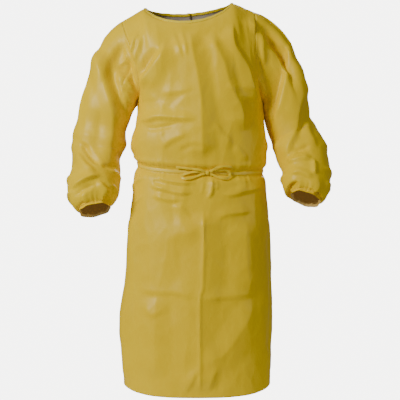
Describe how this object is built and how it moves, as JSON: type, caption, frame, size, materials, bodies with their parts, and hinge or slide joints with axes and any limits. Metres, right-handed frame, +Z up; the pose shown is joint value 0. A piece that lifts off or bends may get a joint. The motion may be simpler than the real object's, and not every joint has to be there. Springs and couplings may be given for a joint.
{
  "type": "chemical protective gown",
  "caption": "Long-sleeved protective gown of smooth coated film, hollow as worn, with a bound round neck, gathered elastic cuffs, a back lap and a waist tie in a bow.",
  "frame": {"origin": "middle of the neck opening on the line of the wearer's shoulders", "axes": "+Z up along the body, -Y out of the gown's front, +X towards the wearer's left"},
  "size_m": [0.8781, 0.3047, 1.3244],
  "materials": {
    "film": "glossy coated film on nonwoven cloth, creased from storage",
    "tie": "folded strip of the same coated film"
  },
  "bodies": {
    "root": {"front": "film", "back_left": "film", "back_right": "film", "sleeve_left": "film", "sleeve_right": "film", "cuff_left": "film", "cuff_right": "film", "neck_binding": "film", "belt": "tie", "bow_knot": "tie", "bow_loop_left": "tie", "bow_loop_right": "tie", "bow_tail_left": "tie", "bow_tail_right": "tie", "neck_knot": "tie", "neck_tail_left": "tie", "neck_tail_right": "tie"}
  },
  "joints": []
}
